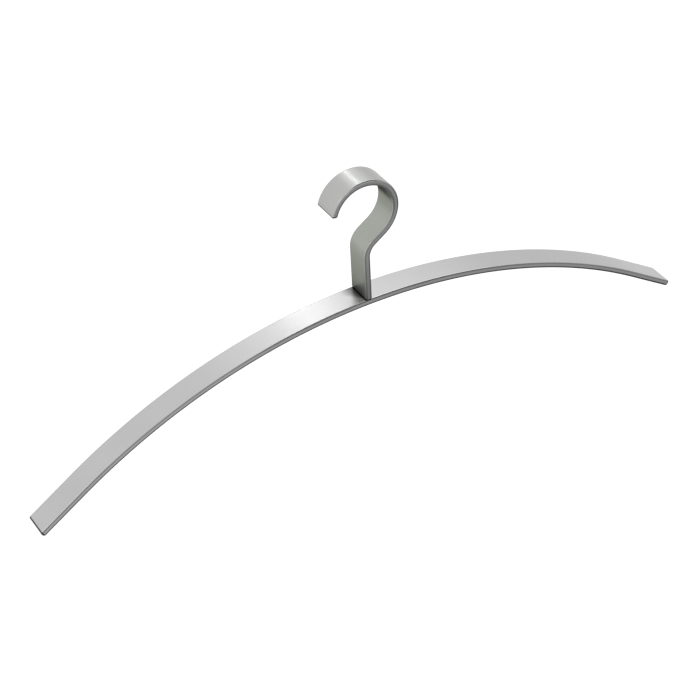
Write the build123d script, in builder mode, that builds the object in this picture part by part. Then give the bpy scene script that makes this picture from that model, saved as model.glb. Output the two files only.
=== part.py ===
from build123d import *
import os
from math import acos, asin, atan2, cos, degrees, hypot, sin

# Arched coat hanger in flat aluminium bar
#
# The origin is on the axis of the rail that the hook hangs from. +X runs along the
# arm, +Y runs across the bar, along the rail, and +Z is up. All sizes are millimetres.

# Flat bar, the same stock for the arm and the hook
bar_width = 18.0
bar_thickness = 4.0
edge_radius = 0.5

# Arm
arm_span = 460.0
arm_radius = 370.0
arm_straight_end = 35.0
arm_tip_radius = 1.5

# Hook, bent from the bar: a stem, a bend, a straight run and the loop round the rail
stem_height = 30.5
bend_inner_radius = 10.0
run_length = 8.3
rail_seat_radius = 19.25
loop_angle = 222.0
hook_tip_radius = 1.0
foot_corner_radius = 0.7

# Countersunk screws, from below through the arm and into the end of the stem
screw_radius = 1.25
screw_length = 10.0
screw_pitch = 9.0
screw_point = 0.3
head_radius = 2.35
head_land = 0.2
head_sink = 0.1
socket_across_flats = 1.5
socket_depth = 0.9

# Clearances of the screws, and how far every cut runs past the metal
shank_clearance = 0.1
thread_clearance = 0.05
seat_clearance = 0.05
thread_run_out = 1.0
cut_overrun = 1.0

# A round takes no more than this share of the wall that it stands on
round_limit_share = 0.45
edge_limit_share = 0.9


def limited(radius, wall):
    """A round's radius, held to what its wall has room for."""
    return min(radius, round_limit_share * wall)


# Rounds of the profiles, and the smaller round that runs along them
tip_round = limited(arm_tip_radius, bar_thickness)
hook_tip_round = limited(hook_tip_radius, bar_thickness)
foot_round = limited(foot_corner_radius, bar_thickness)
edge_round = min(edge_radius, edge_limit_share * min(tip_round, hook_tip_round, foot_round))

# Hook radii on its two faces: inner is the face towards the rail
bend_outer_radius = bend_inner_radius + bar_thickness
loop_outer_radius = rail_seat_radius + bar_thickness
bend_middle_radius = bend_inner_radius + bar_thickness / 2
loop_middle_radius = rail_seat_radius + bar_thickness / 2

# The bend turns as far as it takes to bring the rail's axis over the stem
both_radii = bend_middle_radius + loop_middle_radius
centres_apart = hypot(both_radii, run_length)
bend_turn = acos(bend_middle_radius / centres_apart) - atan2(run_length, both_radii)
bend_angle = degrees(bend_turn)

# Heights below the rail's axis
bend_rise = bend_middle_radius * sin(bend_turn)
run_rise = run_length * cos(bend_turn)
loop_rise = loop_middle_radius * sin(bend_turn)
arm_top = -(stem_height + bend_rise + run_rise + loop_rise)
arm_underside = arm_top - bar_thickness
arm_centre = arm_top - arm_radius

# The arm's arc turns as far as it takes to bring the round of its tip to half of the span
arc_reach = arm_radius - tip_round
end_reach = arm_straight_end - tip_round
tip_turn = asin((arm_span / 2 - tip_round) / hypot(arc_reach, end_reach))
half_arm_angle = degrees(tip_turn - atan2(end_reach, arc_reach))

# Planes that the screws work from, facing down
head_plane = Plane(origin=(0, 0, arm_underside + head_sink), x_dir=(1, 0, 0), z_dir=(0, 0, -1))
foot_plane = Plane(origin=(0, 0, arm_top), x_dir=(1, 0, 0), z_dir=(0, 0, -1))
cone_height = head_radius - screw_radius
thread_depth = screw_length - (bar_thickness - head_sink)

# Arm: an arched band with straight ends, as rollers leave them, and two countersunk holes
with BuildPart() as arm_bar:
    with BuildSketch(Plane.XZ):
        with BuildLine():
            arc_start = 90 - half_arm_angle
            arc_size = 2 * half_arm_angle
            top = CenterArc((0, arm_centre), arm_radius, arc_start, arc_size)
            underside = CenterArc((0, arm_centre), arm_radius - bar_thickness, arc_start, arc_size)
            right_top = PolarLine(top @ 0, arm_straight_end, direction=-(top % 0))
            right_underside = PolarLine(underside @ 0, arm_straight_end, direction=-(top % 0))
            left_top = PolarLine(top @ 1, arm_straight_end, direction=top % 1)
            left_underside = PolarLine(underside @ 1, arm_straight_end, direction=top % 1)
            Line(right_top @ 1, right_underside @ 1)
            Line(left_top @ 1, left_underside @ 1)
        make_face()
        corners = vertices().sort_by(Axis.X)
        fillet(corners[:2] + corners[-2:], radius=tip_round)
    extrude(amount=bar_width / 2, both=True)
    fillet(faces().filter_by(Plane.XZ).edges(), radius=edge_round)
    with Locations(head_plane.offset(-head_land)):
        with GridLocations(0, screw_pitch, 1, 2):
            CounterSinkHole(
                radius=screw_radius + shank_clearance,
                counter_sink_radius=head_radius + seat_clearance,
                depth=bar_thickness + cut_overrun,
                counter_sink_angle=90,
            )
arm_bar.part.label = "arm_bar"

# Hook: two parallel faces, each a line, an arc, a line and an arc, closed at the tip and the foot
with BuildPart() as hook:
    with BuildSketch(Plane.XZ):
        with BuildLine():
            open_stem = Line((-bar_thickness / 2, arm_top), (-bar_thickness / 2, arm_top + stem_height))
            open_bend = JernArc(open_stem @ 1, open_stem % 1, bend_outer_radius, -bend_angle)
            open_run = PolarLine(open_bend @ 1, run_length, direction=open_bend % 1)
            open_loop = JernArc(open_run @ 1, open_run % 1, rail_seat_radius, loop_angle)
            back_stem = Line((bar_thickness / 2, arm_top), (bar_thickness / 2, arm_top + stem_height))
            back_bend = JernArc(back_stem @ 1, back_stem % 1, bend_inner_radius, -bend_angle)
            back_run = PolarLine(back_bend @ 1, run_length, direction=back_bend % 1)
            back_loop = JernArc(back_run @ 1, back_run % 1, loop_outer_radius, loop_angle)
            Line(open_loop @ 1, back_loop @ 1)
            Line(open_stem @ 0, back_stem @ 0)
        make_face()
        fillet(vertices().group_by(Axis.Y)[0], radius=foot_round)
        open_corner = vertices().sort_by_distance(open_loop @ 1)[0]
        back_corner = vertices().sort_by_distance(back_loop @ 1)[0]
        fillet([open_corner, back_corner], radius=hook_tip_round)
    extrude(amount=bar_width / 2, both=True)
    fillet(faces().filter_by(Plane.XZ).edges(), radius=edge_round)
    with Locations(foot_plane):
        with GridLocations(0, screw_pitch, 1, 2):
            Hole(radius=screw_radius + thread_clearance, depth=thread_depth + thread_run_out)
hook.part.label = "hook"

# Screws: a land and a cone with a hexagonal socket for the head, a shank and a bevelled point
with BuildPart() as foot_screws:
    with Locations(head_plane):
        with GridLocations(0, screw_pitch, 1, 2):
            Cylinder(screw_radius, screw_length, align=(Align.CENTER, Align.CENTER, Align.MAX))
            Cylinder(head_radius, head_land, align=(Align.CENTER, Align.CENTER, Align.MAX))
    with Locations(head_plane.offset(-head_land)):
        with GridLocations(0, screw_pitch, 1, 2):
            Cone(screw_radius, head_radius, cone_height, align=(Align.CENTER, Align.CENTER, Align.MAX))
    chamfer(edges().filter_by(GeomType.CIRCLE).group_by(Axis.Z)[-1], length=screw_point)
    with BuildSketch(head_plane):
        with GridLocations(0, screw_pitch, 1, 2):
            RegularPolygon(socket_across_flats / 2, 6, major_radius=False)
    extrude(amount=-socket_depth, mode=Mode.SUBTRACT)
foot_screws.part.label = "foot_screws"

os.makedirs("parts", exist_ok=True)
export_step(arm_bar.part, "parts/arm_bar.step")
export_step(hook.part, "parts/hook.step")
export_step(foot_screws.part, "parts/foot_screws.step")
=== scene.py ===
from math import acos, asin, atan2, cos, hypot, pi, radians, sin

import bpy
import numpy as np
from bpy.props import FloatProperty, FloatVectorProperty, IntProperty, PointerProperty, StringProperty
from mathutils import Matrix, Vector


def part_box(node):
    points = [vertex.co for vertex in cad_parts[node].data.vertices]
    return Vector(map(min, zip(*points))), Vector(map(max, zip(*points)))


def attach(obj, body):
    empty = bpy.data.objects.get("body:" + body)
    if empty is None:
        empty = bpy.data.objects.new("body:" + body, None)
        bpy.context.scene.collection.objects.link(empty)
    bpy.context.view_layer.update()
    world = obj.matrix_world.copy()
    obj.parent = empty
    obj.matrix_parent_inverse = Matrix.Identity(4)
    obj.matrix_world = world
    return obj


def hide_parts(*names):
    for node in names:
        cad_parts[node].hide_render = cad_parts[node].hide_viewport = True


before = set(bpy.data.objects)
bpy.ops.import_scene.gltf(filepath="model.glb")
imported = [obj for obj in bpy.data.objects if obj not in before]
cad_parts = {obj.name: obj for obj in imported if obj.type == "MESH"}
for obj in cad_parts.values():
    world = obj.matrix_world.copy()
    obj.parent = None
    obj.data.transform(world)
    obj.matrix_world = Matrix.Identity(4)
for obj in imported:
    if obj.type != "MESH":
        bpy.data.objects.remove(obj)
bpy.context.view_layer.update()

# Looks of an arched coat hanger: two lengths of satin anodised flat bar and the screws that join them.
# Metres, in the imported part's frame: origin on the rail's axis, +X along the arm, +Y across the bar, +Z up.

bl_info = {
    "name": "Flat bar coat hanger",
    "version": (1, 0, 0),
    "blender": (4, 5, 0),
    "location": "3D View > Sidebar > Hanger",
    "description": "Bends the arm and the hook from flat bar, finishes them and lights them",
    "category": "Object",
}

MM = 0.001

# Points on each rounded corner of a bar's outline
CORNER_POINTS = 7
# Points along each side of the square block of the grid that a hole is cut in, and half its side on the arm
HOLE_POINTS = 9
HOLE_BLOCK = 3 * MM
# Edges that turn more than this stay sharp in the shading
SHARP_ANGLE = radians(30)
# Weights below this are rounding errors
ALMOST_ZERO = 1e-6
# The part of its range that a noise texture fills
NOISE_SPAN = (0.3, 0.7)

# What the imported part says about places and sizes
arm_low, arm_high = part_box("arm_bar")
hook_low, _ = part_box("hook")


# Sizes and colours

class BarStock(bpy.types.PropertyGroup):
    width: FloatProperty(
        name="Width", description="Width of the flat bar", default=arm_high.y - arm_low.y, unit="LENGTH")
    thickness: FloatProperty(
        name="Thickness", description="Thickness of the flat bar", default=4 * MM, unit="LENGTH")
    edge_depth: FloatProperty(
        name="Edge depth", description="Reach of the edge round down the side",
        default=1.1 * MM, unit="LENGTH")
    edge_width: FloatProperty(
        name="Edge width", description="Reach of the edge round over the face",
        default=0.6 * MM, unit="LENGTH")
    foot_edge: FloatProperty(
        name="Foot's edge round", description="Edge depth at a sharp end", default=0.5 * MM, unit="LENGTH")
    round_steps: IntProperty(
        name="Steps of a round", description="Facets across an edge round", default=6, min=2)


class ArmSizes(bpy.types.PropertyGroup):
    span: FloatProperty(
        name="Span", description="From tip to tip", default=arm_high.x - arm_low.x, unit="LENGTH")
    radius: FloatProperty(
        name="Radius", description="Radius of the top face", default=370 * MM, unit="LENGTH")
    straight: FloatProperty(
        name="Straight end", description="Straight length at each end", default=35 * MM, unit="LENGTH")
    tip_round: FloatProperty(
        name="Tip round", description="Rounds of the two ends", default=1.5 * MM, unit="LENGTH")
    top: FloatProperty(
        name="Crown", description="Height of the crown's top", default=hook_low.z, unit="LENGTH")
    step: FloatProperty(
        name="Step", description="Length of a facet along the arm", default=2 * MM, unit="LENGTH")


class HookSizes(bpy.types.PropertyGroup):
    stem: FloatProperty(
        name="Stem", description="Straight length above the arm", default=30.5 * MM, unit="LENGTH")
    bend_radius: FloatProperty(
        name="Bend radius", description="Middle radius of the bend", default=12 * MM, unit="LENGTH")
    run: FloatProperty(
        name="Run", description="Straight length after the bend", default=8.3 * MM, unit="LENGTH")
    bore_radius: FloatProperty(
        name="Bore radius", description="Inner radius of the loop", default=19.25 * MM, unit="LENGTH")
    loop_angle: FloatProperty(
        name="Loop angle", description="Turn of the loop", default=radians(222), unit="ROTATION")
    tip_round: FloatProperty(
        name="Tip round", description="Rounds of the free end", default=1.2 * MM, unit="LENGTH")
    foot_round: FloatProperty(
        name="Foot round", description="Rounds of the foot", default=0.7 * MM, unit="LENGTH")
    step: FloatProperty(
        name="Step", description="Length of a facet along the hook", default=0.5 * MM, unit="LENGTH")


class ScrewHoles(bpy.types.PropertyGroup):
    pitch: FloatProperty(
        name="Pitch", description="Distance between the screws", default=9 * MM, unit="LENGTH")
    sink_radius: FloatProperty(
        name="Countersink radius", description="Mouth of the countersink", default=2.4 * MM, unit="LENGTH")
    sink_land: FloatProperty(
        name="Countersink land", description="Straight wall below the mouth", default=0.3 * MM, unit="LENGTH")
    shank_radius: FloatProperty(
        name="Shank hole radius", description="Hole through the arm", default=1.35 * MM, unit="LENGTH")
    thread_radius: FloatProperty(
        name="Thread hole radius", description="Hole in the foot", default=1.28 * MM, unit="LENGTH")
    thread_depth: FloatProperty(
        name="Thread hole depth", description="Depth of the hole in the foot",
        default=7.1 * MM, unit="LENGTH")


class Finishes(bpy.types.PropertyGroup):
    arm_colour: StringProperty(
        name="Arm", description="Colour of the arm's anodised face, as sRGB hex", default="BEBEBE")
    hook_colour: StringProperty(
        name="Hook", description="Colour of the hook's anodised face, as sRGB hex", default="B5B6B4")
    # Painted shade: the hook's open side is given this darker, greener colour
    shaded_face_colour: StringProperty(
        name="Hook's face with painted shade", description="Its open side's colour, as sRGB hex", default="A4A7A0")
    steel_colour: StringProperty(
        name="Screws", description="Colour of the screws' steel, as sRGB hex", default="A9A7A2")
    satin: FloatProperty(
        name="Satin roughness", description="Roughness of the etched and anodised face", default=0.30)
    handled: FloatProperty(
        name="Edge roughness", description="Roughness of the edges, smoothed by handling", default=0.18)


class Studio(bpy.types.PropertyGroup):
    aim: FloatVectorProperty(name="Aim", description="Point that the camera looks at", size=3, unit="LENGTH",
                             default=(-10.48 * MM, 0, -102.72 * MM))
    azimuth: FloatProperty(
        name="Azimuth", description="Camera's turn round the hanger",
        default=radians(-28.451), unit="ROTATION")
    elevation: FloatProperty(
        name="Elevation", description="Camera's height angle", default=radians(37.534), unit="ROTATION")
    roll: FloatProperty(
        name="Roll", description="Camera's tilt to one side", default=radians(-3.12), unit="ROTATION")
    distance: FloatProperty(
        name="Distance", description="From the aim to the camera", default=1414.8 * MM, unit="LENGTH")
    lens: FloatProperty(name="Lens", description="Focal length in millimetres", default=116.92)
    floor_height: FloatProperty(
        name="Floor", description="Height of the floor", default=-600 * MM, unit="LENGTH")


# Materials

def linear(code):
    """An sRGB hex code as linear red, green, blue and full alpha."""
    srgb = np.array([int(code[i:i + 2], 16) for i in (0, 2, 4)]) / 255
    low = srgb <= 0.04045
    return (*np.where(low, srgb / 12.92, ((srgb + 0.055) / 1.055) ** 2.4).tolist(), 1.0)


def add(tree, kind, settings=None, **links):
    """Adds a node. settings are its own attributes, and each link names an input and what it gets:
    a socket to join, or a value to set."""
    node = tree.nodes.new(kind)
    for name, value in (settings or {}).items():
        setattr(node, name, value)
    for name, value in links.items():
        socket = node.inputs[int(name[1:])] if name[0] == "_" else node.inputs[name.replace("_", " ")]
        if isinstance(value, bpy.types.NodeSocket):
            tree.links.new(value, socket)
        else:
            socket.default_value = value
    return node


def maths(tree, operation, first, second):
    """The result of a maths node on two sockets or values."""
    return add(tree, "ShaderNodeMath", {"operation": operation}, _0=first, _1=second).outputs[0]


def ramp(tree, value, low, high, at_low=0, at_high=1):
    """A value that goes from low to high, turned into one from at_low to at_high and held there beyond."""
    return add(tree, "ShaderNodeMapRange", Value=value, _1=low, _2=high, _3=at_low, _4=at_high).outputs[0]


def blank(name):
    """An empty node material of that name, with its output."""
    material = bpy.data.materials.new(name)
    material.use_nodes = True
    material.node_tree.nodes.clear()
    return material, material.node_tree


def satin_anodised_aluminium_with_painted_shade(name, colour, shaded_face_colour, joint, borders, loop_shade_depth, finish):
    """Aluminium flat bar, etched in caustic and anodised clear, with painted shade. The etch takes off the
    mill's shine and leaves an even, soft sheen; faint draw lines still run the length of the bar, and its
    edges are smoother. One face may take a second colour, darker and a little greener: painted shade on the
    open side.
    Painted dark lines along the two edges of each narrow side and along the back edge, and painted shade on
    the cut ends, stand in for the dark surroundings that the metal mirrors there. The corner of the butt joint
    gets painted shade, and a painted dark line in its groove. The pattern follows the stock attribute, the
    place in the bar before it was bent. joint gives the reach and the depth of the joint's painted shade, the
    depth of its tail, which ends 31 mm from the seam and is on the narrow side too, and the share of the reach
    that is left at the front edge. borders gives the depths of the painted line behind the narrow side and of
    the one along the back edge, and how far along the bar the painted lines on the side away from the shaded
    face begin to fade. The argument before finish gives the depth of the painted shade inside the loop."""
    joint_shade_reach, joint_shade_depth, tail_depth, front_share = joint
    behind_depth, back_depth, fade_start = borders
    # Bands of the pattern, through the bar from its middle
    faces_part = (-0.5 * MM, 0.5 * MM)
    joint_shade_band = (0.9 * MM, 1.8 * MM)
    side_line = (0.75 * MM, 1.15 * MM)
    behind_line = (-0.6 * MM, -1.0 * MM)
    # Bands across the bar from its middle
    shaded_face_ends = (8.3 * MM, 8.6 * MM)
    joint_shade_narrows = (-6 * MM, 3 * MM)
    side_begins = (8.66 * MM, 8.76 * MM)
    round_begins = (8.4 * MM, 8.6 * MM)
    back_begins = (8.1 * MM, 8.5 * MM)
    # Bands along the bar, from the seam or from the bar's start
    seam_shade_band = (0.3 * MM, 0.8 * MM)
    tail_end = 31 * MM
    fade_end = fade_start + 25 * MM
    loop_begins = (55 * MM, 72 * MM)
    # How dark the painted lines and ends are, how far a cut end's painted shade runs on, and how much the
    # sheen varies
    side_depth = 0.5
    seam_shade_level = 0.25
    end_shade_level = 0.12
    end_shade_fade = 0.2
    sheen_spread = 0.02

    material, tree = blank(name)
    stock = add(tree, "ShaderNodeAttribute", {"attribute_name": "stock"}).outputs["Vector"]
    edge = add(tree, "ShaderNodeAttribute", {"attribute_name": "edge"}).outputs["Fac"]
    seam = add(tree, "ShaderNodeAttribute", {"attribute_name": "seam"}).outputs["Fac"]
    cut = add(tree, "ShaderNodeAttribute", {"attribute_name": "cut"}).outputs["Fac"]
    along, across, through = add(tree, "ShaderNodeSeparateXYZ", _0=stock).outputs
    off_middle = add(tree, "ShaderNodeMath", {"operation": "ABSOLUTE"}, _0=through).outputs[0]
    off_line = add(tree, "ShaderNodeMath", {"operation": "ABSOLUTE"}, _0=across).outputs[0]
    # Draw lines of the extrusion die: really 0.05 mm wide and 50 mm and longer, drawn 0.5 mm wide to show
    drawn = add(tree, "ShaderNodeMapping", Vector=stock, Scale=(20, 2000, 2000)).outputs[0]
    lines = add(tree, "ShaderNodeTexNoise", Vector=drawn, Scale=1.0, Detail=3.0, Roughness=0.6).outputs["Fac"]
    # Etch grain: really about 0.02 mm, drawn 0.35 mm wide to show
    etch = add(tree, "ShaderNodeTexNoise", Vector=stock, Scale=2900.0, Detail=2.0).outputs["Fac"]
    # Cloudy bands about 40 mm long, where the bath bit a little deeper
    cloud = add(tree, "ShaderNodeTexNoise", Vector=stock, Scale=25.0, Detail=2.0).outputs["Fac"]

    shade = ramp(tree, cloud, *NOISE_SPAN, 0.975, 1.025)
    tint = ramp(tree, lines, *NOISE_SPAN, 0.985, 1.015)
    both = maths(tree, "MULTIPLY", shade, tint)
    # Painted shade: the face on the open side, short of its edge rounds, takes the second colour
    side = ramp(tree, through, *faces_part)
    between = ramp(tree, off_line, *shaded_face_ends, 1, 0)
    shaded_face = maths(tree, "MULTIPLY", side, between)
    plain = add(tree, "ShaderNodeMix", {"data_type": "RGBA"}, _0=shaded_face,
                _6=linear(colour), _7=linear(shaded_face_colour))
    # Painted shade in the joint's corner, where the two bars shade and mirror each other: deepest at the
    # seam, gone at its reach, reaching less far at the front edge, and with a tail that runs further along the
    # bar
    wide = ramp(tree, through, *joint_shade_band)
    share = ramp(tree, across, *joint_shade_narrows, front_share, 1)
    spread = maths(tree, "DIVIDE", seam, share)
    near = add(tree, "ShaderNodeMapRange", {"interpolation_type": "SMOOTHSTEP"}, Value=spread,
               _1=0, _2=joint_shade_reach, _3=joint_shade_depth, _4=0).outputs[0]
    there = maths(tree, "MULTIPLY", wide, near)
    tail = ramp(tree, seam, 0, tail_end, tail_depth, 0)
    joint_shade = maths(tree, "ADD", there, tail)
    # Along the two edges of each narrow side, a painted dark line about 1 mm wide stands in for the dark
    # surroundings that the edges mirror. It goes further round the edge on the face that is the inside of the
    # arch and the back of the hook. The painted lines fade along the loop, and the back edge has one of its
    # own.
    on_side = ramp(tree, off_line, *side_begins)
    before = ramp(tree, along, fade_start, fade_end, 1, 0)
    front = maths(tree, "MAXIMUM", before, side)
    beside = ramp(tree, off_middle, *side_line, 0, side_depth)
    faded = maths(tree, "MULTIPLY", front, beside)
    border = maths(tree, "MULTIPLY", on_side, faded)
    rounding = ramp(tree, off_line, *round_begins)
    behind = ramp(tree, through, *behind_line, 0, behind_depth)
    hidden = maths(tree, "MULTIPLY", before, behind)
    back_border = maths(tree, "MULTIPLY", rounding, hidden)
    back_edge = ramp(tree, across, *back_begins, 0, back_depth)
    sides = maths(tree, "MAXIMUM", border, back_border)
    darker = maths(tree, "MAXIMUM", sides, back_edge)
    # Painted shade on the cut ends, for the dark surroundings that they mirror
    end_shade = ramp(tree, cut, 0, end_shade_fade, 1, end_shade_level)
    sided = maths(tree, "SUBTRACT", 1, darker)
    trim = maths(tree, "MULTIPLY", sided, end_shade)
    # Painted shade: a dark line in the groove along the seam
    line = ramp(tree, seam, *seam_shade_band, seam_shade_level, 1)
    # Painted shade on the inside of the loop
    loop = ramp(tree, along, *loop_begins, 0, loop_shade_depth)
    loop_shade = maths(tree, "MULTIPLY", side, loop)
    # The painted shades come together here as one factor on the colour
    joint_and_loop_shade = maths(tree, "ADD", joint_shade, loop_shade)
    unshaded = maths(tree, "SUBTRACT", 1, joint_and_loop_shade)
    corner = maths(tree, "MULTIPLY", unshaded, line)
    shaded = maths(tree, "MULTIPLY", corner, trim)
    level = maths(tree, "MULTIPLY", both, shaded)
    face = add(tree, "ShaderNodeVectorMath", {"operation": "SCALE"}, _0=plain.outputs[2], Scale=level)

    sheen = ramp(tree, lines, *NOISE_SPAN, finish.satin - sheen_spread, finish.satin + sheen_spread)
    rough = add(tree, "ShaderNodeMix", {"data_type": "FLOAT"}, _0=edge, _2=sheen, _3=finish.handled)
    relief = maths(tree, "ADD", lines, etch)
    bump = add(tree, "ShaderNodeBump", Height=relief, Strength=0.15, Distance=0.02 * MM)
    shader = add(tree, "ShaderNodeBsdfPrincipled", Base_Color=face.outputs[0], Metallic=1.0,
                 Roughness=rough.outputs[0], Normal=bump.outputs[0])
    add(tree, "ShaderNodeOutputMaterial", Surface=shader.outputs[0])
    return material


def turned_stainless_steel(name, colour):
    """Stainless steel off a lathe: a fine grain that breaks up the light, and a slightly warmer grey than the
    aluminium."""
    material, tree = blank(name)
    place = add(tree, "ShaderNodeTexCoord").outputs["Object"]
    grain = add(tree, "ShaderNodeTexNoise", Vector=place, Scale=3500.0, Detail=3.0).outputs["Fac"]
    rough = ramp(tree, grain, *NOISE_SPAN, 0.24, 0.36)
    bump = add(tree, "ShaderNodeBump", Height=grain, Strength=0.2, Distance=0.02 * MM)
    shader = add(tree, "ShaderNodeBsdfPrincipled", Base_Color=linear(colour), Metallic=1.0,
                 Roughness=rough, Normal=bump.outputs[0])
    add(tree, "ShaderNodeOutputMaterial", Surface=shader.outputs[0])
    return material


# The bar before it is bent, in its own space: along, across and through its thickness

def outline(start, end, half, start_round, end_round, along, at_start, at_end):
    """The bar's long outline seen from its front edge: a rectangle with quarter circles at its corners, going
    along the underside, up the end, back along the top and down the start. Gives the points (along, through),
    the directions out of the bar, and 1 where a point is on a corner."""
    turn = np.linspace(0, pi / 2, CORNER_POINTS + 2)[1:-1]
    corners = ((start + start_round, start_round - half, start_round, pi),
               (end - end_round, end_round - half, end_round, -pi / 2),
               (end - end_round, half - end_round, end_round, 0),
               (start + start_round, half - start_round, start_round, pi / 2))
    sides = (((0, -1), along, np.full(len(along), -half)),
             ((1, 0), np.full(len(at_end), end), at_end),
             ((0, 1), along[::-1], np.full(len(along), half)),
             ((-1, 0), np.full(len(at_start), start), at_start[::-1]))
    points, outs, corner = [], [], []
    for (x, z, radius, first), (out, places, heights) in zip(corners, sides):
        arc = np.stack([np.cos(first + turn), np.sin(first + turn)], 1)
        points += [np.array([x, z]) + radius * arc, np.stack([places, heights], 1)]
        outs += [arc, np.tile(np.array(out, float), (len(places), 1))]
        corner += [np.ones(len(arc)), np.zeros(len(places))]
    return np.concatenate(points), np.concatenate(outs), np.concatenate(corner)


def straight_bar(start, end, start_round, end_round, along, at_start, at_end, across, grows):
    """A straight flat bar with every edge rounded, as a grid of the outline by its width. From the front edge
    to the back one, the outline grows from inset by the edge's depth to full size over a quarter ellipse,
    stays so over the width, and shrinks again: inset = d (1 - sin a), across = half - w + w cos a. The depth
    d follows grows, distances from the start and the depths there, and w is the edge's width. Rungs from the
    underside to the top close the two edges. Gives the points, the grid's faces, the closing faces, the edge
    weight, the grid's numbers as rows by columns, and the top's column above each of the underside's."""
    bar = bpy.context.scene.hanger_stock
    half = bar.width / 2
    ring, out, corner = outline(
        start, end, bar.thickness / 2, start_round, end_round, along, at_start, at_end)
    edge = np.interp(ring[:, 0] - start, *grows)
    turn = np.linspace(0, pi / 2, bar.round_steps + 1)[:, None]
    rise = edge * (1 - np.sin(turn))
    go = half - bar.edge_width * np.ones(len(edge)) * (1 - np.cos(turn))
    inset = np.concatenate([rise, np.zeros((len(across), len(edge))), rise[::-1]])
    width = np.concatenate([-go, np.broadcast_to(across[:, None], (len(across), len(edge))), go[::-1]])
    rounded = np.concatenate([np.sin(2 * turn), np.zeros((len(across), 1)), np.sin(2 * turn)]) > ALMOST_ZERO
    flat = ring[None] - inset[..., None] * out[None]
    points = np.stack([flat[..., 0], width, flat[..., 1]], 2)
    weight = np.maximum(rounded, corner[None])
    rows, columns = weight.shape
    number = np.arange(rows * columns).reshape(rows, columns)
    after = np.roll(number, -1, 1)
    rim = np.stack([number[:-1], number[1:], after[1:], after[:-1]], 2)

    rungs = len(along) + 2 * CORNER_POINTS
    low = np.arange(rungs)
    high = 2 * rungs + len(at_end) - 1 - low
    caps = []
    for row, order in ((number[0], 1), (number[-1], -1)):
        steps = np.stack([row[low[:-1]], row[low[1:]], row[high[1:]], row[high[:-1]]], 1)[:, ::order]
        ends = (row[rungs - 1:rungs + len(at_end) + 1], np.append(row[high[0]:], row[0]))
        caps += steps.tolist() + [e[::order].tolist() for e in ends]
    return points.reshape(-1, 3), rim, caps, weight.ravel(), number, high


def square(block):
    """The numbers round the border of a block of the grid, in the order that faces out of the bar go."""
    return np.concatenate([block[:-1, 0], block[-1, :-1], block[:0:-1, -1], block[0, :0:-1]])


def drilled(points, weight, rings, centre, axis, levels):
    """A hole's wall: rings of points from the border of a cut in the grid inwards. Ring k lies on the circle
    of radius r at depth d below the face, each point in the direction of the border point that it starts
    from. rings gives the border at the face, and a second one where the hole comes out again."""
    mouth = points[rings[0]] - centre
    flat = mouth - np.outer(mouth @ axis, axis)
    spoke = flat / np.linalg.norm(flat, axis=1)[:, None]
    walls = np.concatenate([centre + r * spoke + d * axis for r, d in levels])
    fresh = len(points) + np.arange(len(walls)).reshape(len(levels), -1)
    chain = np.concatenate([rings[:1], fresh, rings[1:]])
    after = np.roll(chain, -1, 1)
    faces = np.stack([chain[:-1], after[:-1], after[1:], chain[1:]], 2).reshape(-1, 4).tolist()
    if len(rings) == 1:
        faces.append(chain[-1].tolist())
    return np.concatenate([points, walls]), np.concatenate([weight, np.zeros(len(walls))]), faces


def bent(stock, first, heading, runs):
    """Where the straight bar's points go when it is bent. The middle line has runs of constant turn: at d
    into one it heads h + k d, and it is d sinc(k d / 2) from the run's start in the direction h + k d / 2,
    which is the chord of its arc. A point off the middle line stays on the line square to it there."""
    starts = np.concatenate([[0.0], np.cumsum([length for length, _ in runs])[:-1]])
    turns = np.array([turn for _, turn in runs])
    begins, heads = [np.array(first, float)], [heading]
    for length, turn in runs[:-1]:
        middle = heads[-1] + turn * length / 2
        chord = length * np.sinc(turn * length / 2 / pi)
        begins.append(begins[-1] + chord * np.array([cos(middle), sin(middle)]))
        heads.append(heads[-1] + turn * length)
    run = np.clip(np.searchsorted(starts, stock[:, 0], side="right") - 1, 0, len(runs) - 1)
    distance = stock[:, 0] - starts[run]
    turned = turns[run] * distance
    chord = distance * np.sinc(turned / 2 / pi)
    middle = np.array(heads)[run] + turned / 2
    head = middle + turned / 2
    base = np.array(begins)[run]
    x = base[:, 0] + chord * np.cos(middle) - stock[:, 2] * np.sin(head)
    z = base[:, 1] + chord * np.sin(middle) + stock[:, 2] * np.cos(head)
    return np.stack([x, stock[:, 1], z], 1)


def placed(name, node, stock, weight, seam, cut, faces, points, material):
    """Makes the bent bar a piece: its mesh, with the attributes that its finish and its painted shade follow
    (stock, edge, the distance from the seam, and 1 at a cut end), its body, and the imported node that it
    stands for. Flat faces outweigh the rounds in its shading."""
    used = np.unique(np.concatenate([np.array(face) for face in faces]))
    new_number = np.zeros(len(points), int)
    new_number[used] = np.arange(len(used))
    points, stock, weight, seam, cut = points[used], stock[used], weight[used], seam[used], cut[used]
    mesh = bpy.data.meshes.new(name)
    mesh.from_pydata(points, [], [new_number[face].tolist() for face in faces])
    mesh.attributes.new("stock", "FLOAT_VECTOR", "POINT").data.foreach_set("vector", stock.ravel())
    mesh.attributes.new("edge", "FLOAT", "POINT").data.foreach_set("value", weight)
    mesh.attributes.new("seam", "FLOAT", "POINT").data.foreach_set("value", seam)
    mesh.attributes.new("cut", "FLOAT", "POINT").data.foreach_set("value", cut)
    mesh.shade_smooth()
    mesh.set_sharp_from_angle(angle=SHARP_ANGLE)
    mesh.materials.append(material)
    if mesh.validate():
        raise RuntimeError(f"{name} has faces that don't fit together")
    piece = bpy.data.objects.new(name, mesh)
    bpy.context.scene.collection.objects.link(piece)
    shading = piece.modifiers.new("flat faces first", "WEIGHTED_NORMAL")
    shading.keep_sharp = True
    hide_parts(node)
    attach(piece, "root")


# Operators

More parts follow.
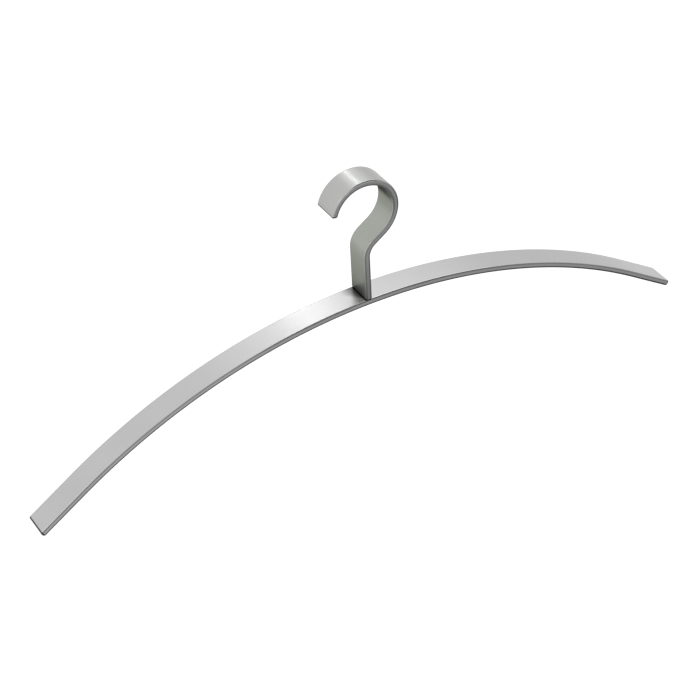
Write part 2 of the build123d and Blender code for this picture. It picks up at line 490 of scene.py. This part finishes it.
class HANGER_OT_bend_arm(bpy.types.Operator):
    """Bends the arm from flat bar and countersinks it for the screws"""
    bl_idname = "hanger.bend_arm"
    bl_label = "Bend the arm"

    def execute(self, context):
        scene = context.scene
        bar, arm, holes = scene.hanger_stock, scene.hanger_arm, scene.hanger_holes
        half = bar.thickness / 2
        arc_reach, end_reach = arm.radius - arm.tip_round, arm.straight - arm.tip_round
        tip_turn = asin((arm.span / 2 - arm.tip_round) / hypot(arc_reach, end_reach))
        turn = tip_turn - atan2(end_reach, arc_reach)
        curved = (arm.radius - half) * turn
        end = curved + arm.straight
        away = np.linspace(HOLE_BLOCK, end - arm.tip_round, int(end / arm.step) + 1)
        close = np.linspace(-HOLE_BLOCK, HOLE_BLOCK, HOLE_POINTS)
        along = np.concatenate([-away[:0:-1], close, away[1:]])
        beside = [y + close for y in (-holes.pitch / 2, holes.pitch / 2)]
        flat = half - arm.tip_round
        at_tips = np.array([-flat, flat])
        stock, rim, faces, weight, number, high = straight_bar(
            -end, end, arm.tip_round, arm.tip_round, along, at_tips, at_tips, np.concatenate(beside),
            ([0], [bar.edge_depth]))
        kept = np.ones(rim.shape[:2], bool)
        first = CORNER_POINTS + len(away) - 1
        last = first + HOLE_POINTS - 1
        under = slice(first, last + 1)
        over = slice(high[last], high[first] + 1)
        levels = ((holes.sink_radius, 0), (holes.sink_radius, holes.sink_land),
                  (holes.shank_radius, holes.sink_land + holes.sink_radius - holes.shank_radius),
                  (holes.shank_radius, bar.thickness))
        for k, side in enumerate((-1, 1)):
            row = bar.round_steps + 1 + HOLE_POINTS * k
            block = slice(row, row + HOLE_POINTS)
            for columns in (under, over):
                kept[row:row + HOLE_POINTS - 1, columns.start:columns.stop - 1] = False
            mouth = square(number[block, under])
            back = square(number[block, over][:, ::-1])
            centre = np.array([0, side * holes.pitch / 2, -half])
            rings = np.stack([mouth, back])
            stock, weight, walls = drilled(stock, weight, rings, centre, np.array([0, 0, 1.0]), levels)
            faces += walls
        faces += rim[kept].tolist()
        # Both halves are bent as the right one, and the left one is turned over to its side
        right_half = np.concatenate([np.abs(stock[:, :1]), stock[:, 1:]], 1)
        runs = [(curved, -1 / (arm.radius - half)), (arm.straight, 0)]
        points = bent(right_half, (0, arm.top - half), 0, runs)
        points[:, 0] *= np.where(stock[:, 0] < 0, -1, 1)
        finish = scene.hanger_finish
        # Painted shade at the joint (reach, depth, tail depth, front share) and the painted edge lines
        joint = (10.8 * MM, 0.78, 0, 0.1)
        borders = (0.82, 0.15, arm.span)
        material = satin_anodised_aluminium_with_painted_shade(
            "satin anodised aluminium with painted shade, arm", finish.arm_colour, finish.arm_colour, joint, borders, 0, finish)
        # The painted joint shade lies on the open side, and reaches a third as far on the other
        beside_joint = np.where(stock[:, 0] < 0, -stock[:, 0] - half, 3 * (stock[:, 0] - half))
        top_face = half - 0.1 * MM
        seam = np.where(stock[:, 2] > top_face, beside_joint, arm.span)
        cut = np.clip((np.abs(stock[:, 0]) - end) / arm.tip_round + 1, 0, 1)
        placed("bent_arm", "arm_bar", stock, weight, seam, cut, faces, points, material)
        return {"FINISHED"}


class HANGER_OT_bend_hook(bpy.types.Operator):
    """Bends the hook from the same flat bar and drills its foot for the screws"""
    bl_idname = "hanger.bend_hook"
    bl_label = "Bend the hook"

    def execute(self, context):
        scene = context.scene
        bar, hook, holes, arm = scene.hanger_stock, scene.hanger_hook, scene.hanger_holes, scene.hanger_arm
        half = bar.thickness / 2
        loop_radius = hook.bore_radius + half
        both = hook.bend_radius + loop_radius
        turn = acos(hook.bend_radius / hypot(both, hook.run)) - atan2(hook.run, both)
        runs = [(hook.stem, 0), (hook.bend_radius * turn, -1 / hook.bend_radius), (hook.run, 0),
                (loop_radius * hook.loop_angle, 1 / loop_radius)]
        end = sum(length for length, _ in runs)
        along = np.linspace(hook.foot_round, end - hook.tip_round, int(end / hook.step) + 1)
        foot, tip = half - hook.foot_round, half - hook.tip_round
        close = np.linspace(-foot, foot, HOLE_POINTS)
        beside = [y + close for y in (-holes.pitch / 2, holes.pitch / 2)]
        # The edge rounds grow to their full depth from 1 to 4 mm above the foot
        grows = ([1 * MM, 4 * MM], [bar.foot_edge, bar.edge_depth])
        stock, rim, faces, weight, number, high = straight_bar(
            0, end, hook.foot_round, hook.tip_round, along, close, np.array([-tip, tip]),
            np.concatenate(beside), grows)
        kept = np.ones(rim.shape[:2], bool)
        under = slice(high[0] + 1, high[0] + 1 + HOLE_POINTS)
        levels = ((holes.thread_radius, 0), (holes.thread_radius, holes.thread_depth))
        for k, side in enumerate((-1, 1)):
            row = bar.round_steps + 1 + HOLE_POINTS * k
            kept[row:row + HOLE_POINTS - 1, under.start:under.stop - 1] = False
            mouth = square(number[row:row + HOLE_POINTS, under])
            centre = np.array([0, side * holes.pitch / 2, 0])
            stock, weight, walls = drilled(stock, weight, mouth[None], centre, np.array([1.0, 0, 0]), levels)
            faces += walls
        faces += rim[kept].tolist()
        points = bent(stock, (0, arm.top), pi / 2, runs)
        finish = scene.hanger_finish
        # Painted shade at the joint (reach, depth, tail depth, front share) and the painted edge lines
        joint = (12 * MM, 0.3, 0.35, 1)
        borders = (0.6, 0.4, 75 * MM)
        # Depth of the painted shade inside the loop
        loop_shade_depth = 0.2
        material = satin_anodised_aluminium_with_painted_shade(
            "satin anodised aluminium with painted shade, hook", finish.hook_colour, finish.shaded_face_colour, joint, borders, loop_shade_depth,
            finish)
        cut = np.clip((stock[:, 0] - end) / hook.tip_round + 1, 0, 1)
        seam = stock[:, 0]
        placed("bent_hook", "hook", stock, weight, seam, cut, faces, points, material)
        return {"FINISHED"}


class HANGER_OT_finish_screws(bpy.types.Operator):
    """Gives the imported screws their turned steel"""
    bl_idname = "hanger.finish_screws"
    bl_label = "Finish the screws"

    def execute(self, context):
        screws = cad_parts["foot_screws"]
        screws.data.materials.clear()
        colour = context.scene.hanger_finish.steel_colour
        screws.data.materials.append(turned_stainless_steel("turned stainless steel, screws", colour))
        return {"FINISHED"}


# Stage

def sheet_of_card(name, centre, facing, size, material):
    """A flat stage card: two parameters run across its width and its height, square to the way it faces."""
    turn = Vector(facing).to_track_quat("Z", "Y").to_matrix()
    row = 3
    u, v = np.meshgrid(np.linspace(-0.5, 0.5, row), np.linspace(-0.5, 0.5, row))
    local = np.stack([u.ravel() * size[0], v.ravel() * size[1], np.zeros(row * row)], 1)
    points = local @ np.array(turn).T + np.array(centre)
    corner = (np.arange(row - 1)[:, None] * row + np.arange(row - 1)).ravel()
    faces = np.stack([corner, corner + 1, corner + row + 1, corner + row], 1).tolist()
    mesh = bpy.data.meshes.new(name)
    mesh.from_pydata(points, [], faces)
    mesh.materials.append(material)
    card = bpy.data.objects.new(name, mesh)
    bpy.context.scene.collection.objects.link(card)
    return card


def flag(name, centre, facing, size, colour, strength=1):
    """An evenly lit card that only the metal's reflections see, as a flag beside a still life."""
    material, tree = blank(name + " card")
    shader = add(tree, "ShaderNodeEmission", Color=linear(colour), Strength=strength)
    add(tree, "ShaderNodeOutputMaterial", Surface=shader.outputs[0])
    material.cycles.emission_sampling = "NONE"
    card = sheet_of_card(name, centre, facing, size, material)
    card.visible_camera = card.visible_diffuse = card.visible_shadow = card.visible_transmission = False


def seen(tree):
    """1 for rays from the camera, and for those that metal or glass sends on, 0 for the rest."""
    path = add(tree, "ShaderNodeLightPath")
    two = maths(tree, "MAXIMUM", path.outputs["Is Camera Ray"], path.outputs["Is Glossy Ray"])
    return maths(tree, "MAXIMUM", two, path.outputs["Is Transmission Ray"])


def pale_floor():
    """Matt white floor paper. It keeps the hanger's shadow, and what the camera and the metal see of it is
    lifted to white. From below it isn't there, so that the hanger's underside can be looked at."""
    material, tree = blank("matt white floor paper")
    paper = add(tree, "ShaderNodeBsdfDiffuse", Color=linear("F4F4F4"))
    glow = maths(tree, "MULTIPLY", seen(tree), 0.5)
    light = add(tree, "ShaderNodeEmission", Color=(1, 1, 1, 1), Strength=glow)
    both = add(tree, "ShaderNodeAddShader", _0=paper.outputs[0], _1=light.outputs[0])
    clear = add(tree, "ShaderNodeBsdfTransparent")
    below = add(tree, "ShaderNodeNewGeometry").outputs["Backfacing"]
    shader = add(tree, "ShaderNodeMixShader", _0=below, _1=both.outputs[0], _2=clear.outputs[0])
    add(tree, "ShaderNodeOutputMaterial", Surface=shader.outputs[0])
    return material


def softbox(name, place, target, size, power):
    """A square softbox at place, turned to target."""
    lamp = bpy.data.lights.new(name, "AREA")
    lamp.shape = "RECTANGLE"
    lamp.size, lamp.size_y = size
    lamp.energy = power
    box = bpy.data.objects.new(name, lamp)
    box.location = place
    box.rotation_euler = (Vector(place) - Vector(target)).to_track_quat("Z", "Y").to_euler()
    bpy.context.scene.collection.objects.link(box)


class HANGER_OT_light_stage(bpy.types.Operator):
    """Lays the floor, hangs the softboxes and flags, and sets the camera"""
    bl_idname = "hanger.light_stage"
    bl_label = "Light the stage"

    def execute(self, context):
        scene, studio = context.scene, context.scene.hanger_studio
        sheet_of_card("floor", (0, 0, studio.floor_height), (0, 0, 1), (16, 16), pale_floor())

        world = bpy.data.worlds.new("white room")
        world.use_nodes = True
        world.cycles.sampling_method = "NONE"
        tree = world.node_tree
        tree.nodes.clear()
        level = ramp(tree, seen(tree), 0, 1, 0.6, 1.0)
        room = add(tree, "ShaderNodeBackground", Color=(1, 1, 1, 1), Strength=level)
        add(tree, "ShaderNodeOutputWorld", Surface=room.outputs[0])
        scene.world = world

        crown = Vector((0, 0, -0.05))
        strip_place = crown + 2.0 * Vector((0.226, 0.729, 0.646))
        softbox("strip softbox behind", strip_place, crown, (0.13, 0.24), 0.52)
        softbox("wide softbox behind", crown + 1.5 * Vector((0.305, 0.531, 0.791)), crown, (1.26, 1.26), 1.63)
        softbox("softbox overhead", crown + 1.6 * Vector((0.32, 0.0, 0.95)), crown, (0.7, 0.7), 1.6)
        # Cards brighten what the metal mirrors, flags darken it, and walls stand for the room's
        flag("overhead card", (1.15, 0.02, 1.5), (0, 0, -1), (1.7, 0.9), "FFFFFF", 1.8)
        flag("upper left card", (-2.0, 0.02, 1.5), (0, 0, -1), (1.0, 0.9), "FFFFFF", 2.4)
        flag("right side card", (1.75, 0.62, 0.38), (-1, -0.35, -0.2), (0.5, 0.7), "FFFFFF", 1.2)
        flag("front flag", (0.55, -1.05, 0.45), (-0.4, 0.9, -0.25), (0.9, 1.2), "333333")
        flag("low front flag", (0.435, -0.52, -0.36), (0, 0, 1), (0.63, 0.84), "B4B4B7")
        flag("low front left flag", (-0.165, -0.52, -0.36), (0, 0, 1), (0.57, 0.84), "D2D2D2")
        flag("low middle flag", (0.22, 0.01, -0.36), (0, 0, 1), (0.96, 0.22), "3A3A3A")
        flag("low right flag", (0.20, 0.38, -0.36), (0, 0, 1), (0.70, 0.56), "303030")
        flag("low left flag", (-0.70, 0.76, -0.36), (0, 0, 1), (1.1, 1.28), "E6E7E2")
        flag("right wall", (0.95, 0.95, 0.0), (-1, -1, 0), (1.2, 0.9), "EFEFEF")
        flag("left wall", (-1.2, 1.2, 0.3), (1, -1, 0), (1.6, 1.4), "FFFFFF")

        lens = bpy.data.cameras.new("camera")
        lens.lens = studio.lens
        lens.sensor_width = 36
        camera = bpy.data.objects.new("camera", lens)
        a, e = studio.azimuth, studio.elevation
        back = Vector((sin(a) * cos(e), -cos(a) * cos(e), sin(e)))
        right = Vector((cos(a), sin(a), 0))
        frame_axes = Matrix((right, back.cross(right), back)).transposed()
        turned = frame_axes @ Matrix.Rotation(studio.roll, 3, "Z")
        stand = Vector(studio.aim) + studio.distance * back
        camera.matrix_world = Matrix.Translation(stand) @ turned.to_4x4()
        scene.collection.objects.link(camera)
        scene.camera = camera
        scene.view_settings.view_transform = "Standard"
        return {"FINISHED"}


class HANGER_PT_sidebar(bpy.types.Panel):
    """Lists the hanger's sizes and steps"""
    bl_idname = "HANGER_PT_sidebar"
    bl_label = "Coat hanger"
    bl_space_type = "VIEW_3D"
    bl_region_type = "UI"
    bl_category = "Hanger"

    def draw(self, context):
        layout = self.layout
        for key, sizes in GROUPS.items():
            box = layout.box()
            for name in sizes.__annotations__:
                box.prop(getattr(context.scene, key), name)
        for step in STEPS:
            layout.operator(step.bl_idname)


GROUPS = {"hanger_stock": BarStock, "hanger_arm": ArmSizes, "hanger_hook": HookSizes,
          "hanger_holes": ScrewHoles, "hanger_finish": Finishes, "hanger_studio": Studio}
STEPS = (HANGER_OT_bend_arm, HANGER_OT_bend_hook, HANGER_OT_finish_screws, HANGER_OT_light_stage)


def register():
    for each in (*GROUPS.values(), *STEPS, HANGER_PT_sidebar):
        bpy.utils.register_class(each)
    for key, sizes in GROUPS.items():
        setattr(bpy.types.Scene, key, PointerProperty(type=sizes))


def unregister():
    for key in GROUPS:
        delattr(bpy.types.Scene, key)
    for each in reversed((*GROUPS.values(), *STEPS, HANGER_PT_sidebar)):
        bpy.utils.unregister_class(each)


def main():
    register()
    bpy.ops.hanger.bend_arm()
    bpy.ops.hanger.bend_hook()
    bpy.ops.hanger.finish_screws()
    bpy.ops.hanger.light_stage()


if __name__ == "__main__":
    main()
